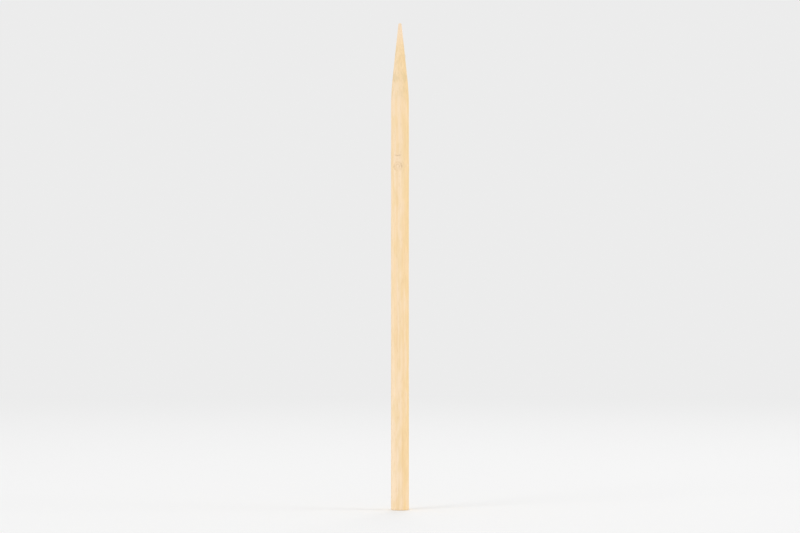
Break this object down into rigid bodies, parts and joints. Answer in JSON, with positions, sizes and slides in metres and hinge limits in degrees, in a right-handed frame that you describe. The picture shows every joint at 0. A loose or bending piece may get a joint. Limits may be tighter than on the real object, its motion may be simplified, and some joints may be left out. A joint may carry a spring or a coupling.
{
  "type": "bamboo skewer",
  "caption": "Round bamboo skewer with a long ground point, a square-cut butt and a faint node mark, for threading and grilling small pieces of food.",
  "frame": {"origin": "centre of the flat butt face, on the rod's axis", "axes": "+Z along the rod, from the butt to the point; the node's mark faces -Y, turned 24 degrees towards -X"},
  "size_m": [0.0056, 0.0056, 0.15],
  "materials": {
    "bamboo": "bare, unvarnished, fine straight fibres"
  },
  "bodies": {
    "root": {"skewer": "bamboo"}
  },
  "joints": []
}
